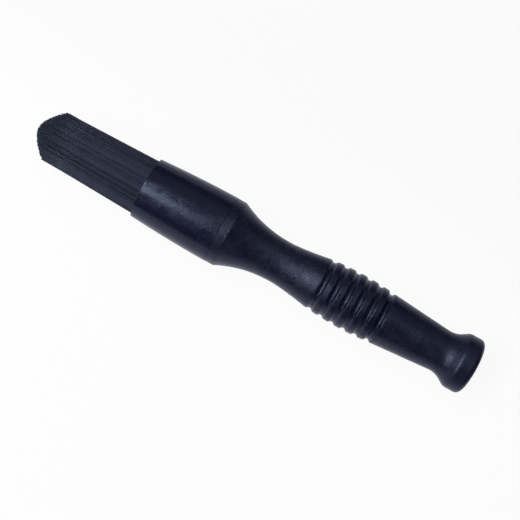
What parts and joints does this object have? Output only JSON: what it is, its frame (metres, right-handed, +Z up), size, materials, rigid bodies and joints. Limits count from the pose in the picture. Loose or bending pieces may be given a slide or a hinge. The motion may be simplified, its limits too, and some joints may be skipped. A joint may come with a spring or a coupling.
{
  "type": "round cleaning brush",
  "caption": "Round cleaning brush: a moulded waisted handle with a ribbed grip and flared pommel, a tapered sleeve and a stiff domed bristle bundle.",
  "frame": {"origin": "on the table under the middle of the brush, which lies level on its widest ring", "axes": "+X along the brush towards the bristle tip, +Z up; the brush's own axis runs parallel to X, 20.05 mm above the table"},
  "size_m": [0.28, 0.0402, 0.0401],
  "materials": {
    "moulded_plastic": "satin navy-black with a fine moulded grain",
    "bristle_filament": "extruded filament, dark slate",
    "cast_resin": "cast, smooth",
    "band_metal": "plain strip",
    "natural_plastic": "uncoloured moulding"
  },
  "bodies": {
    "root": {"handle": "moulded_plastic", "end_plug": "moulded_plastic", "ferrule_sleeve": "moulded_plastic", "bristle_bundle": "bristle_filament", "resin_set": "cast_resin", "root_band": "band_metal", "centre_plug": "natural_plastic", "backing_disc": "natural_plastic"}
  },
  "joints": []
}
